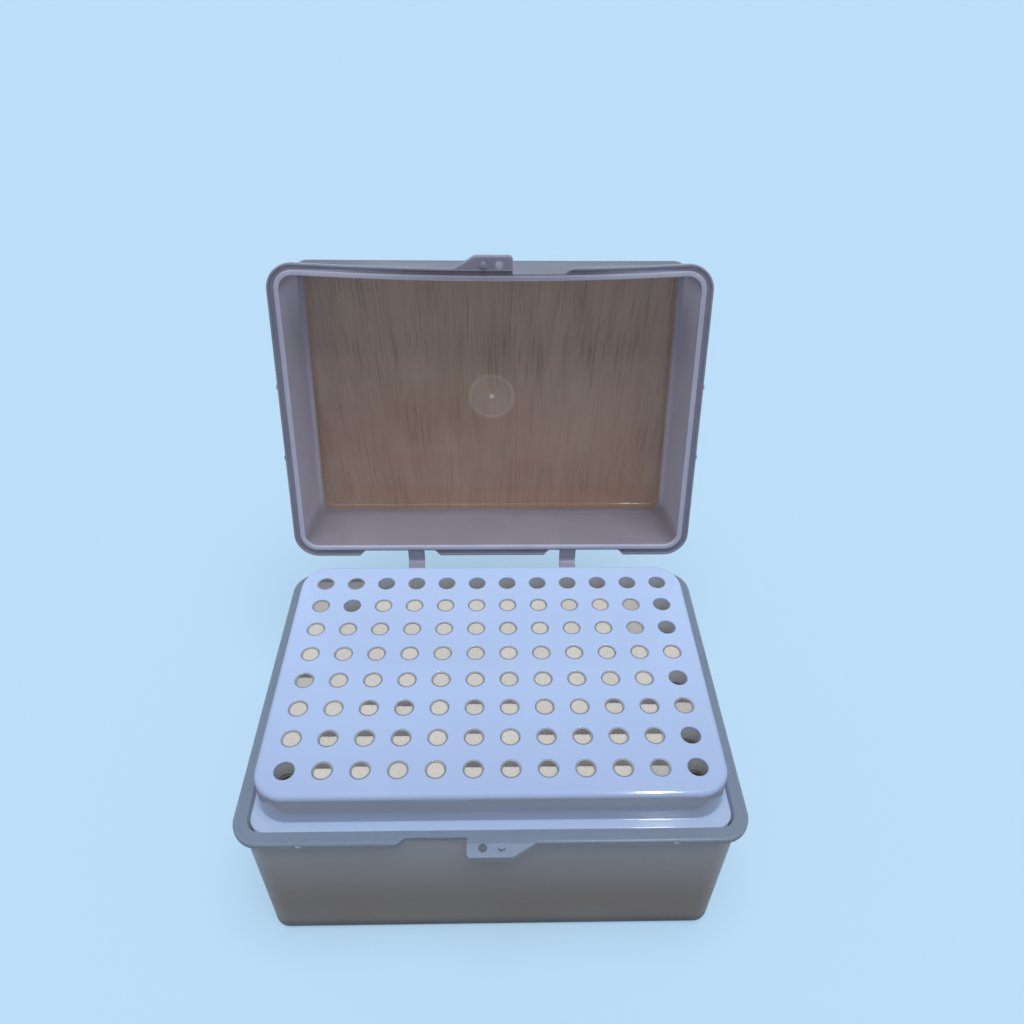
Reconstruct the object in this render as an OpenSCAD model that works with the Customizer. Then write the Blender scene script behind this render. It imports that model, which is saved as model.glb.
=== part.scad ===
// Hinged box of pipette tips: a tub and a lid moulded with two strap hinges,
// a rack that drops into the tub's mouth, and the tips that stand in the rack.
// Millimetres. The origin is at the centre of the tub's underside, +Z is up,
// the latch side faces -Y and the hinge side faces +Y.

/* [Tub] */
// Height of the tub
tub_h = 48.3; // [47:0.1:60]
// Wall of the tub and of the lid
wall = 1.2; // [1:0.05:1.4]
// Thickness of the tub's floor
floor_t = 1.5; // [1.2:0.1:2.5]
// Radius of the upright corners at the rim
corner_r = 5.2; // [4.5:0.1:6]
// Inward lean of the tub's walls over its height
tub_lean = 0.9; // [0.3:0.1:1.2]
// Radius of the tub's lower outer edge
foot_r = 2.2; // [1.6:0.1:2.6]

/* [Rim] */
// Overhang of the rim flanges beyond the walls
flange_w = 2.1; // [1.6:0.1:2.6]
// Thickness of the rim flanges
flange_t = 1.4; // [1.2:0.1:1.8]
// Gap between the closed lid and the tub
lid_gap = 0.3; // [0.2:0.05:0.5]
// Depth of the channel in the lid's flange
channel_t = 0.35; // [0.2:0.05:0.5]

/* [Latch] */
// Reach of the finger tabs beyond the flanges
tab_reach = 3.4; // [2.8:0.1:4.2]
// Distance from the middle to the square end of a tab
tab_half = 5.9; // [5:0.1:7]
// Length of the sloping end of a tab
tab_slope = 4.6; // [3:0.1:7]
// Length of the finger notch beside a tab
notch_l = 16.6; // [12:0.1:20]
// Diameter of the latch pegs
peg_d = 1.6; // [1.2:0.1:1.8]
// Height of the latch pegs
peg_h = 0.9; // [0.6:0.1:1.2]
// Clearance round a latch peg in its hole
peg_gap = 0.25; // [0.2:0.05:0.4]
// Distance of the pegs from the middle
peg_x = 2.2; // [1.8:0.1:3]

/* [Hinge] */
// Distance of the strap hinges from the middle
strap_x = 24; // [23:0.5:28]
// Width of a hinge strap
strap_w = 5.2; // [4:0.1:7]
// Thickness of a hinge strap
strap_t = 0.6; // [0.4:0.05:0.8]
// Distance of the fold behind the tub's wall
fold_out = 5.2; // [5:0.1:6]
// Height of the fold above the tub's rim
fold_up = 2.1; // [2:0.05:2.6]
// Room between a leaf of the strap and the fold's axis
fold_gap = 0.5; // [0.4:0.05:0.8]
// Distance from the middle to the inner end of a hinge cut-out
cut_in = 18; // [16:0.5:19]
// Distance from the middle to the outer end of a hinge cut-out
cut_out = 40; // [35:0.5:44]
// Angle that the lid stands open at
open_angle = 103.4; // [95:0.1:110]

/* [Lid] */
// Depth of the lid
lid_h = 23.6; // [21:0.1:30]
// Thickness of the lid's top
lid_top_t = 1.4; // [1.2:0.1:2]
// Inward lean of the lid's walls over its depth
lid_lean = 0.6; // [0.3:0.1:1]
// Radius of the lid's upper outer edge
lid_edge_r = 2.4; // [1.6:0.1:2.8]
// Distance from the lid's ends to the thin clear window in its top
window_end = 3.6; // [3.4:0.1:8]
// Distance from the lid's front and back to the window
window_side = 5.2; // [4:0.1:8]
// Depth of the window's recess
window_t = 0.4; // [0.2:0.05:0.6]
// Diameter of the moulding gate's disc in the window
gate_d = 12.6; // [8:0.1:16]

/* [Rack] */
// Spacing of the tips
pitch = 9; // [8.9:0.05:9.1]
// Distance from the end tips to the ends of the rack's deck
deck_end = 7.25; // [6.5:0.05:8]
// Distance from the front and back tips to the sides of the deck
deck_side = 7.3; // [6.5:0.05:8]
// Corner radius of the deck
deck_r = 8; // [6:0.1:8.5]
// Rounding of the deck's top edge
deck_edge_r = 1.4; // [0.8:0.1:1.5]
// Thickness of the rack's deck
deck_t = 1.6; // [1.5:0.05:1.7]
// Thickness of the rack's skirt
skirt_t = 1.2; // [1:0.05:1.4]
// Outward lean of the skirt over its height
skirt_lean = 0.3; // [0.1:0.05:0.4]
// Height of the deck above the rack's ledge
deck_rise = 10; // [8:0.1:12]
// Drop of the rack's ledge below the tub's rim
ledge_drop = 1; // [0.6:0.1:1.6]
// Thickness of the rack's ledge
ledge_t = 1.2; // [1:0.05:1.6]
// Width of the ledge beyond the ends of the deck
ledge_end = 1.25; // [1:0.05:3]
// Width of the ledge beyond the sides of the deck
ledge_side = 2.8; // [1:0.1:4]
// Fillet between the skirt and the ledge
cove_r = 0.45; // [0.3:0.05:0.5]
// Gap between the rack's ledge and the tub's wall
ledge_gap = 0.4; // [0.3:0.05:0.6]
// Wall of the sockets under the deck
socket_wall = 0.85; // [0.7:0.05:1.2]
// Thickness of the lip at the foot of a socket, which carries the tip's hub
lip_t = 1; // [0.8:0.1:1.5]
// Rounding of a socket's mouth
mouth_edge_r = 0.4; // [0.2:0.05:0.5]
// Thickness of the ribs that carry the rack
rib_t = 1.2; // [0.8:0.1:1.6]

/* [Tips] */
// Diameter of the hub at a tip's head
hub_d = 4.7; // [4.65:0.05:4.8]
// Height of the hub
hub_h = 5.5; // [4:0.1:6]
// Wall of the hub at a tip's mouth
hub_wall = 0.2; // [0.18:0.01:0.25]
// Step from the hub in to the barrel, which rests on the lip
hub_step = 0.2; // [0.18:0.01:0.25]
// Wall of a tip
tip_wall = 0.35; // [0.3:0.01:0.4]
// Length of a tip
tip_l = 46; // [36:0.5:50]
// Diameter of a tip's point
point_d = 1; // [0.95:0.05:1.2]
// Clearance round a tip in its socket
seat_gap = 0.08; // [0.06:0.01:0.1]
// Drop of a tip's mouth below the deck
mouth_drop = 0.2; // [0.1:0.05:0.3]
// Length of a filter plug
plug_l = 4; // [3:0.1:6]
// Clearance between a plug and its tip
plug_gap = 0.05; // [0.03:0.01:0.08]

/* [Hidden] */
$fn = 48;

// Stock of the rack, back row first and left to right: a dot is an empty socket,
// and a letter is a tip with its plug at the mouth (f), a little down (a) or
// further down (b).
stock = ["aa..........",
         "f.fffffffff.",
         "fffffffffff.",
         "ffffffffffff",
         "affffffffff.",
         "ffabfaaffaba",
         "fbbbfafbbbb.",
         ".baffbbbbbb."];
rows = len(stock);
cols = len(stock[0]);
function plug_drop(s) = s == "f" ? 0.3 : s == "a" ? 1.1 : 2.4;

// Lengths and widths, from the field of tips outwards: the rack's deck, its ledge,
// and the tub that takes it
field_l = (cols - 1) * pitch;
field_w = (rows - 1) * pitch;
deck_l = field_l + 2 * deck_end;
deck_w = field_w + 2 * deck_side;
ledge_l = deck_l + 2 * ledge_end;
ledge_w = deck_w + 2 * ledge_side;
tub_l = ledge_l + 2 * (ledge_gap + wall);
tub_w = ledge_w + 2 * (ledge_gap + wall);

// Heights of the lid, the rack and the tips' mouths
lid_z = tub_h + lid_gap;
ledge_z = tub_h - ledge_drop;
deck_z = ledge_z + deck_rise;
mouth_z = deck_z - mouth_drop;

// Flanges: their outer edge, the root that a notch or a cut-out leaves, and the
// channel's distances from the wall and from the edge
root_w = 0.5;
channel_in = 0.1;
channel_lip = 0.6;
edge_y = tub_w / 2 + flange_w;
root_y = tub_w / 2 + root_w;
peg_y = -edge_y - tab_reach / 3;

// Axis of the fold, and how deep in its flange a leaf starts
fold_y = tub_w / 2 + fold_out;
fold_z = tub_h + fold_up;
leaf_in = 0.3 * flange_t;

// Inner fillets of the tub and the lid, at the floor and at the top
tub_fillet = 1;
lid_fillet = 1.2;

// Window: its size, its corners and the rounding of its recess. Gate: its stub,
// and how much deeper its disc is
window_l = tub_l - 2 * window_end;
window_w = tub_w - 2 * window_side;
window_r = 3.2;
window_edge_r = 0.2;
gate_stub_d = 1.4;
gate_t = 0.2;

// Finger tab: rounding of its corner, how much its tip narrows to the slope, and
// how deep the slope ends in the flange
tab_corner_r = 1;
tab_taper = 1.2;
tab_root = 0.2;

// Marks that the mould leaves on the flanges' edges: places, width and reach
tub_marks = [-45, 43];
lid_marks = [-10, 12];
mark_w = 1.2;
mark_out = 0.35;

// Ribs that carry the rack: root in the wall and in the floor, hold on the ledge
rib_root = 0.75 * wall;
rib_foot = 0.3;
rib_hold = 1.2;

// Rack: edge and corners of its ledge, and the fillet inside its deck
ledge_edge_r = 0.5;
ledge_tight = 0.6;
ledge_r = corner_r - ledge_tight;
deck_fillet = 0.6;
cove_in = 0.02;

// Sockets: the seat that takes a tip's hub, and the hole in its lip
mouth_r = hub_d / 2 - hub_wall;
barrel_r = hub_d / 2 - hub_step;
seat_r = hub_d / 2 + seat_gap;
lip_r = barrel_r + seat_gap;
socket_r = seat_r + socket_wall;
seat_h = hub_h + mouth_drop;
socket_h = seat_h + lip_t;

// Tip below its mouth: depths where the barrel and the shoulder end, and radii
barrel_end = 14;
shoulder_end = 20;
barrel_lean = 0.3;
shoulder_lean = 0.9;
barrel_end_r = barrel_r - barrel_lean;
shoulder_r = barrel_r - shoulder_lean;
point_r = point_d / 2;
function bore_r(depth) =
    mouth_r + (barrel_end_r - tip_wall - mouth_r) * depth / barrel_end;

// Turn about the fold that takes the closed lid to where it stands open
module opened() {
    translate([0, fold_y, fold_z]) rotate([-open_angle, 0, 0])
        translate([0, -fold_y, -fold_z]) children();
}

// Sweep of an upright profile round a rounded rectangle. The child's X is the
// distance out from the lines that join the corners' centres, its Y the height.
module around(l, w, r) {
    cx = l / 2 - r;
    cy = w / 2 - r;
    for (i = [0:3]) {
        along = i % 2 == 0 ? 2 * cy : 2 * cx;
        out = i % 2 == 0 ? cx : cy;
        rotate([0, 0, 90 * i]) translate([out, along / 2, 0])
            rotate([90, 0, 0]) linear_extrude(along) children();
        side_x = i == 0 || i == 3 ? 1 : -1;
        side_y = i < 2 ? 1 : -1;
        translate([side_x * cx, side_y * cy, 0]) rotate([0, 0, 90 * i])
            rotate_extrude(angle = 90) children();
    }
}

// Moulded block that stands on z = 0: its walls lean by r1 - r0 over its height,
// and its lower outer edge is rounded. l, w and r set the corners' centres.
module moulded(l, w, r, h, r0, r1, edge) {
    x0 = r0 + (r1 - r0) * edge / h;
    around(l, w, r) {
        polygon([[0, 0], [x0 - edge, 0], [x0 - edge, edge], [x0, edge],
                 [r1, h], [0, h]]);
        intersection() {
            translate([x0 - edge, edge]) circle(r = edge);
            translate([x0 - edge, 0]) square(edge);
        }
    }
    translate([r - l / 2, r - w / 2, 0]) cube([l - 2 * r, w - 2 * r, h]);
}

// The same block hung upside down from its top at z
module hung(z, l, w, r, h, r0, r1, edge) {
    translate([0, 0, z]) mirror([0, 0, 1]) moulded(l, w, r, h, r0, r1, edge);
}

// Strip of flange round a rim, its upper outer edge rounded
module flange_ring() {
    er = flange_t / 2;
    out = corner_r + flange_w - er;
    around(tub_l, tub_w, corner_r) {
        translate([corner_r - wall / 2, 0]) square([out - corner_r + wall / 2, flange_t]);
        translate([out, er]) circle(r = er);
        translate([out, 0]) square(er);
    }
}

// Finger tab in plan, on the -Y side: its square end is to the left
module tab_plan() {
    er = tab_corner_r;
    end_y = -edge_y - tab_reach;
    difference() {
        polygon([[-tab_half, er - root_y], [-tab_half, end_y],
                 [tab_half - tab_taper, end_y], [tab_half + tab_slope, -edge_y + tab_root],
                 [tab_half + tab_slope, er - root_y]]);
        translate([er - tab_half, end_y + er]) difference() {
            translate([-2 * er, -2 * er]) square(2 * er);
            circle(r = er);
        }
    }
}

// Finger notch in plan, beside the square end of the tab
module notch_plan() {
    polygon([[-tab_half, -root_y], [-tab_half - notch_l + flange_w, -root_y],
             [-tab_half - notch_l - 1, -edge_y - 1], [-tab_half, -edge_y - 1]]);
}

// Cut-outs of a flange round the two straps, in plan
module strap_cuts() {
    slant = edge_y + 1 - root_y;
    for (side = [-1, 1])
        scale([side, 1]) polygon([[cut_in, root_y], [cut_out, root_y],
            [cut_out + slant, edge_y + 1], [cut_in - slant, edge_y + 1]]);
}

// Mark on a flange's edge
module mark(x, y) {
    translate([x, y, flange_t / 2])
        cube([mark_w, 2 * mark_out, flange_t / 2], center = true);
}

// Flange with its tab, notch, hinge cut-outs and latch hole, on z = 0. The lid's
// tab and notch are the tub's ones turned over.
module latched_flange(turned) {
    flip = turned ? -1 : 1;
    difference() {
        union() {
            flange_ring();
            linear_extrude(flange_t) scale([flip, 1]) tab_plan();
        }
        translate([0, 0, -1]) linear_extrude(flange_t + 2) {
            scale([flip, 1]) notch_plan();
            strap_cuts();
        }
        translate([-flip * peg_x, peg_y, -1])
            cylinder(d = peg_d + 2 * peg_gap, h = flange_t + 2);
    }
}

// Rib inside the tub, drawn for the +X wall: it carries the rack's ledge
module rib(half) {
    reach = wall + ledge_gap + rib_hold;
    foot = floor_t - rib_foot;
    top = ledge_z - ledge_t;
    rotate([90, 0, 0]) translate([half - rib_root, 0, -rib_t / 2])
        linear_extrude(rib_t)
            polygon([[rib_root - reach - tub_lean, foot], [-tub_lean, foot],
                     [-tub_lean * (1 - top / tub_h), top],
                     [rib_root - reach, top]]);
}

module ribs() {
    for (side = [0, 180], y = [-2, 2] * pitch)
        translate([0, y, 0]) rotate([0, 0, side]) rib(tub_l / 2);
    for (side = [90, 270], x = [-4, 0, 4] * pitch)
        translate([x, 0, 0]) rotate([0, 0, side]) rib(tub_w / 2);
}

module base_box() {
    color([0.72, 0.75, 0.78]) {
        difference() {
            moulded(tub_l, tub_w, corner_r, tub_h,
                    corner_r - tub_lean, corner_r, foot_r);
            translate([0, 0, floor_t])
                moulded(tub_l, tub_w, corner_r, tub_h,
                        corner_r - wall - tub_lean, corner_r - wall, tub_fillet);
        }
        ribs();
        translate([0, 0, tub_h - flange_t]) {
            latched_flange(false);
            for (x = tub_marks) mark(x, -edge_y);
        }
        translate([peg_x, peg_y, tub_h - flange_t / 2])
            cylinder(d = peg_d, h = flange_t / 2 + peg_h);
    }
}

module lid() {
    color([0.75, 0.78, 0.82]) opened() {
        difference() {
            hung(lid_z + lid_h, tub_l, tub_w, corner_r, lid_h,
                 corner_r - lid_lean, corner_r, lid_edge_r);
            hung(lid_z + lid_h - lid_top_t, tub_l, tub_w, corner_r, lid_h,
                 corner_r - wall - lid_lean, corner_r - wall, lid_fillet);
            window();
        }
        translate([0, 0, lid_z + lid_h - lid_top_t])
            cylinder(d = gate_stub_d, h = lid_top_t / 2);
        difference() {
            translate([0, 0, lid_z]) {
                latched_flange(true);
                for (side = [-1, 1], y = lid_marks)
                    rotate([0, 0, 90 * side]) mark(side * y, -tub_l / 2 - flange_w);
            }
            channel();
        }
        translate([-peg_x, peg_y, lid_z - peg_h])
            cylinder(d = peg_d, h = peg_h + flange_t / 2);
    }
}

// Room inside the lid's top: the window's recess, and the gate's disc in it
module window() {
    top = lid_z + lid_h - lid_top_t;
    hung(top + window_t, window_l, window_w, window_r, window_t + 1,
         window_r, window_r, window_edge_r);
    translate([0, 0, top]) cylinder(d = gate_d, h = window_t + gate_t);
}

// Channel in the underside of the lid's flange, just outside the wall
module channel() {
    translate([0, 0, lid_z - 1]) around(tub_l, tub_w, corner_r)
        translate([corner_r + channel_in, 0])
            square([flange_w - channel_in - channel_lip, 1 + channel_t]);
}

// Rack: a deck with a skirt, a ledge round its foot, and sockets for the tips
module rack_plate() {
    h = deck_rise + ledge_t;
    skirt_r = deck_r + skirt_lean;
    color([0.93, 0.94, 0.95]) difference() {
        union() {
            difference() {
                union() {
                    hung(deck_z, deck_l, deck_w, deck_r, h,
                         deck_r, skirt_r, deck_edge_r);
                    hung(ledge_z, ledge_l, ledge_w, ledge_r, ledge_t,
                         ledge_r, ledge_r, ledge_edge_r);
                    translate([0, 0, ledge_z]) around(deck_l, deck_w, deck_r) cove();
                }
                hung(deck_z - deck_t, deck_l, deck_w, deck_r, h,
                     deck_r - skirt_t, skirt_r - skirt_t, deck_fillet);
            }
            at_seats() cylinder(r = socket_r, h = socket_h - deck_t / 2);
        }
        at_seats() socket_room();
    }
}

// Fillet at the skirt's foot. It starts a hair inside the leaning skirt.
module cove() {
    foot = deck_r + skirt_lean * (deck_rise - cove_r) / (deck_rise + ledge_t)
        - cove_in;
    difference() {
        translate([foot - skirt_t / 2, -ledge_t / 2])
            square([skirt_t / 2 + cove_r, cove_r + ledge_t / 2]);
        translate([foot + cove_r, cove_r]) circle(r = cove_r);
    }
}

// Room in a socket: the hole in its lip, the seat and the rounded mouth
module socket_room() {
    rotate_extrude() {
        translate([0, -1]) square([lip_r, socket_h]);
        translate([0, lip_t]) square([seat_r, seat_h]);
        translate([0, socket_h - mouth_edge_r]) difference() {
            square([seat_r + mouth_edge_r, mouth_edge_r + 1]);
            translate([seat_r + mouth_edge_r, 0]) circle(r = mouth_edge_r);
        }
    }
}

// One copy of the children at the foot of each socket
module at_seats() {
    for (row = [0:rows - 1], col = [0:cols - 1])
        translate([seat_x(col), seat_y(row), deck_z - socket_h]) children();
}
function seat_x(col) = (col - (cols - 1) / 2) * pitch;
function seat_y(row) = ((rows - 1) / 2 - row) * pitch;

// Leaf of a strap, from the flange at height z to just short of the fold. It lies
// on the side that side gives: -1 is under the line to the fold, 1 is over it.
module leaf(x, z, side) {
    run = fold_y - root_y;
    rise = fold_z - z;
    angle = atan2(rise, run);
    end = sqrt(run * run + rise * rise) - fold_gap;
    translate([x + strap_w / 2, root_y, z]) rotate([90, 0, -90])
        linear_extrude(strap_w)
            polygon([[0, 0], -end * [cos(angle), -sin(angle)],
                     -end * [cos(angle), -sin(angle)]
                         + side * strap_t * [sin(angle), cos(angle)],
                     [0, side * strap_t / cos(angle)]]);
}

module hinge_leaf_base(x) {
    color([0.8, 0.82, 0.85]) leaf(x, tub_h - leaf_in, -1);
}

module hinge_leaf_lid(x) {
    color([0.8, 0.82, 0.85]) opened() leaf(x, lid_z + leaf_in, 1);
}

// Tip with its mouth at z = 0 and its point down
module tip() {
    rotate_extrude() polygon([
        [mouth_r, 0], [hub_d / 2, 0], [hub_d / 2, -hub_h],
        [barrel_r, -hub_h], [barrel_end_r, -barrel_end],
        [shoulder_r, -shoulder_end], [point_r, -tip_l],
        [point_r - tip_wall, -tip_l], [shoulder_r - tip_wall, -shoulder_end],
        [barrel_end_r - tip_wall, -barrel_end]]);
}

// Filter plug that fills a tip's bore from the given depth down
module plug(drop) {
    translate([0, 0, -drop - plug_l])
        cylinder(r1 = bore_r(drop + plug_l) - plug_gap,
                 r2 = bore_r(drop) - plug_gap, h = plug_l);
}

module tip_column(col) {
    color([0.86, 0.87, 0.88]) for (row = [0:rows - 1])
        if (stock[row][col] != ".")
            translate([seat_x(col), seat_y(row), mouth_z]) tip();
}

module filter_column(col) {
    color([0.85, 0.85, 0.84]) for (row = [0:rows - 1])
        if (stock[row][col] != ".")
            translate([seat_x(col), seat_y(row), mouth_z])
                plug(plug_drop(stock[row][col]));
}

base_box();
lid();
rack_plate();
hinge_leaf_base(-strap_x);  // hinge_leaf_base_left
hinge_leaf_base(strap_x);  // hinge_leaf_base_right
hinge_leaf_lid(-strap_x);  // hinge_leaf_lid_left
hinge_leaf_lid(strap_x);  // hinge_leaf_lid_right
for (i = [1:cols])
    tip_column(i - 1);
for (i = [1:cols])
    filter_column(i - 1);
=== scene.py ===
"""Dresses an open box of pipette tips: frosted tub and lid, rack plate, tips and filters."""

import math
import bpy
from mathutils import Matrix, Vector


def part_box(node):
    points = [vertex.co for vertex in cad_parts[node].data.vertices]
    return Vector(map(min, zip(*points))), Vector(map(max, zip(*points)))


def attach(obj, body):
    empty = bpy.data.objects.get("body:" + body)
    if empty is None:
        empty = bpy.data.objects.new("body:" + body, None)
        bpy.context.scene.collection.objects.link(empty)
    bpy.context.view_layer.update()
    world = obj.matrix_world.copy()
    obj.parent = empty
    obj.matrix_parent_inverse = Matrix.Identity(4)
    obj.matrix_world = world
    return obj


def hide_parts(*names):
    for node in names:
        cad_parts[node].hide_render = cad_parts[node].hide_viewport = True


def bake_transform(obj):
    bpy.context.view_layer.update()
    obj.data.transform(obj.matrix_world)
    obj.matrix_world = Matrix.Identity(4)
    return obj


bl_info = {
    "name": "Pipette Tip Box",
    "version": (1, 0, 0),
    "blender": (4, 5, 0),
    "location": "3D View > Sidebar > Tip Box",
    "description": "Finishes a hinged box of filter tips and its rack, and sets its stage",
    "category": "Object",
}

import bmesh
import bpy
import numpy as np
from bpy.props import FloatProperty, FloatVectorProperty, PointerProperty
from bpy.types import Operator, Panel, PropertyGroup
from mathutils import Matrix, Vector

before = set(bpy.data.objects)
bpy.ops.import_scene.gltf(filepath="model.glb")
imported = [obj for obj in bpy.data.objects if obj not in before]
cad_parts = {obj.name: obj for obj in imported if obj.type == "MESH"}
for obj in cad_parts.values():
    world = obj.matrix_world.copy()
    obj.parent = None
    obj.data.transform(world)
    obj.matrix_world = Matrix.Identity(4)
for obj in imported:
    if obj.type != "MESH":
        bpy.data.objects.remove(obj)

MM = 0.001
# The grid of sockets, and the height of the tips' mouths.
COLUMNS = 12
ROWS = 8
PITCH = 9 * MM
MOUTH_Z = 57.1 * MM
# One letter a socket, back row first: no tip, or its plug at the mouth (f), a little
# down (a) or further down (b). A capital is a plug with painted shade, a darker colour
# for a plug that sits in shade, and D is like a, with the darkest painted shade.
STOCK = ("DD..........",
         "F.ffffffffF.",
         "ffffffffffF.",
         "ffffffffffff",
         "Affffffffff.",
         "ffabfaaffabA",
         "fbbbfafbbbb.",
         ".baffbbbbbB.")
# How much painted shade darkens each capital kind of plug, and D.
SHADED_PLUGS = {"F": 0.4, "A": 0.35, "B": 0.35, "D": 0.95}
# The fold of the straps in Y and Z, and how far the lid stands open about it.
FOLD = (48.4 * MM, 50.4 * MM)
OPEN_ANGLE = math.radians(103.4)
# Ends of a strap's middle line in Y and Z, on the tub's flange and on the lid's, and
# the way out of the bend.
STRAP_ROOT = (43.3 * MM, 47.67 * MM)
STRAP_TOP = (48.13 * MM, 55.7 * MM)
STRAP_OUTWARD = (0.84, -0.545)
# Rounded rectangles of the box's plan: half sizes in X and Y, and the corner's radius.
TUB_MOUTH = (59 * MM, 42.6 * MM, 4.6 * MM)
LID_PANEL = (56.5 * MM, 40 * MM, 3 * MM)
LID_BEAD = (59.6 * MM, 43.2 * MM, 5.2 * MM)
LID_INSIDE = (58.9 * MM, 42.5 * MM, 4.5 * MM)
# A tip's bore at its mouth, and how much its radius falls a length of depth.
BORE_RADIUS = 2.15 * MM
BORE_TAPER = 0.65 / 14
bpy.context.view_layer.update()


# ---- colours and node trees -------------------------------------------------


def linear(red, green, blue):
    """A colour given as 0 to 255 sRGB, turned to linear light."""
    coded = np.array([red, green, blue]) / 255
    low = coded / 12.92
    high = ((coded + 0.055) / 1.055) ** 2.4
    return tuple(float(v) for v in np.where(coded <= 0.04045, low, high))


def colour(name, text, rgb):
    """A colour property whose default is given as 0 to 255 sRGB."""
    return FloatVectorProperty(name=name, description=text, default=linear(*rgb),
                               size=3, min=0, max=1, subtype="COLOR")


def length(name, text, millimetres):
    """A length property whose default is given in millimetres."""
    return FloatProperty(name=name, description=text, default=millimetres * MM,
                         min=0, precision=5, unit="LENGTH", subtype="DISTANCE")


def share(name, text, value):
    """A property between 0 and 1."""
    return FloatProperty(name=name, description=text, default=value,
                         min=0, max=1, subtype="FACTOR")


class Wiring:
    """Adds nodes to one tree, each with its settings and with what feeds it."""

    def __init__(self, tree):
        self.tree = tree

    def add(self, kind, feeds=None, **settings):
        """A node with its settings, and with sockets or values fed to its inputs."""
        node = self.tree.nodes.new(kind)
        for key, value in settings.items():
            setattr(node, key, value)
        for key, value in (feeds or {}).items():
            self.feed(node.inputs[key], value)
        return node

    def feed(self, socket, value):
        """Links a socket to an input, or sets the input's own value."""
        if isinstance(value, bpy.types.NodeSocket):
            self.tree.links.new(value, socket)
        elif socket.type == "RGBA" and len(value) == 3:
            socket.default_value = (*value, 1)
        else:
            socket.default_value = value

    def math(self, operation, first, second=0.0, clamp=False):
        node = self.add("ShaderNodeMath", {0: first, 1: second},
                        operation=operation, use_clamp=clamp)
        return node.outputs[0]

    def vector(self, operation, first, second=(0, 0, 0)):
        node = self.add("ShaderNodeVectorMath", {0: first, 1: second},
                        operation=operation)
        return node.outputs["Vector"]

    def part(self, vector, axis):
        """One of a vector's three parts, by its letter."""
        return self.add("ShaderNodeSeparateXYZ", {0: vector}).outputs[axis]

    def noise(self, vector, scale, detail=2.0, roughness=0.5):
        node = self.add("ShaderNodeTexNoise",
                        {"Vector": vector, "Scale": scale, "Detail": detail,
                         "Roughness": roughness})
        return node.outputs["Fac"]

    def spread(self, value, low, high, start=0.0, end=1.0, smooth=True):
        """The value's run from low to high taken to start to end, and held outside it."""
        node = self.add("ShaderNodeMapRange",
                        {"Value": value, "From Min": low, "From Max": high,
                         "To Min": start, "To Max": end},
                        interpolation_type="SMOOTHSTEP" if smooth else "LINEAR",
                        clamp=True)
        return node.outputs["Result"]

    def mix(self, amount, first, second):
        """Two colours mixed, from the first at 0 to the second at 1."""
        node = self.add("ShaderNodeMix", data_type="RGBA", clamp_factor=True)
        self.feed(node.inputs[0], amount)
        self.feed(node.inputs[6], first)
        self.feed(node.inputs[7], second)
        return node.outputs[2]


def new_group(name, inputs, outputs):
    """An empty shader node group with its named inputs and outputs."""
    tree = bpy.data.node_groups.new(name, "ShaderNodeTree")
    kinds = {"vector": "NodeSocketVector", "float": "NodeSocketFloat"}
    for label, kind in inputs:
        tree.interface.new_socket(name=label, in_out="INPUT", socket_type=kinds[kind])
    for label, kind in outputs:
        tree.interface.new_socket(name=label, in_out="OUTPUT", socket_type=kinds[kind])
    wires = Wiring(tree)
    return tree, wires, wires.add("NodeGroupInput"), wires.add("NodeGroupOutput")


def mould_grain_group():
    """Fine spark-eroded grain: 0.6 fine + 0.4 broad noise for a bump, and the broad
    noise alone for a tone."""
    tree, w, given, out = new_group(
        "mould grain", [("Vector", "vector"), ("Grain", "float")],
        [("Height", "float"), ("Tone", "float")])
    scale = w.math("DIVIDE", 1.0, given.outputs["Grain"])
    fine = w.noise(given.outputs["Vector"], scale, 3.0, 0.6)
    broad = w.noise(given.outputs["Vector"], w.math("MULTIPLY", scale, 0.22), 2.0, 0.5)
    w.feed(out.inputs["Height"], w.math("ADD", w.math("MULTIPLY", fine, 0.6),
                                        w.math("MULTIPLY", broad, 0.4)))
    w.feed(out.inputs["Tone"], w.spread(broad, 0.3, 0.7))
    return tree


def cloud_group():
    """Slow, uneven cloudiness of a thin moulded wall, as a tone from 0 to 1."""
    tree, w, given, out = new_group(
        "wall cloud", [("Vector", "vector"), ("Size", "float")], [("Tone", "float")])
    scale = w.math("DIVIDE", 1.0, given.outputs["Size"])
    slow = w.noise(given.outputs["Vector"], scale, 4.0, 0.55)
    w.feed(out.inputs["Tone"], w.spread(slow, 0.32, 0.68))
    return tree


def plan_mask_group():
    """1 inside a rounded rectangle about the origin of X and Y, fading over its rim:
    length(max(|p| - half + corner, 0)) - corner is the distance from its edge."""
    tree, w, given, out = new_group(
        "rounded plan",
        [("Vector", "vector"), ("Half", "vector"), ("Corner", "float"),
         ("Fade", "float")],
        [("Mask", "float"), ("Distance", "float")])
    corner = given.outputs["Corner"]
    apart = w.vector("SUBTRACT", w.vector("ABSOLUTE", given.outputs["Vector"]),
                     given.outputs["Half"])
    pulled = w.add("ShaderNodeCombineXYZ", {"X": corner, "Y": corner})
    over = w.vector("MAXIMUM", w.vector("ADD", apart, pulled.outputs[0]))
    flat = w.vector("MULTIPLY", over, (1, 1, 0))
    far = w.add("ShaderNodeVectorMath", {0: flat}, operation="LENGTH")
    edge = w.math("SUBTRACT", far.outputs["Value"], corner)
    w.feed(out.inputs["Distance"], edge)
    inside = w.math("DIVIDE", w.math("MULTIPLY", edge, -1.0), given.outputs["Fade"])
    w.feed(out.inputs["Mask"], w.math("ADD", inside, 0.5, clamp=True))
    return tree


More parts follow.
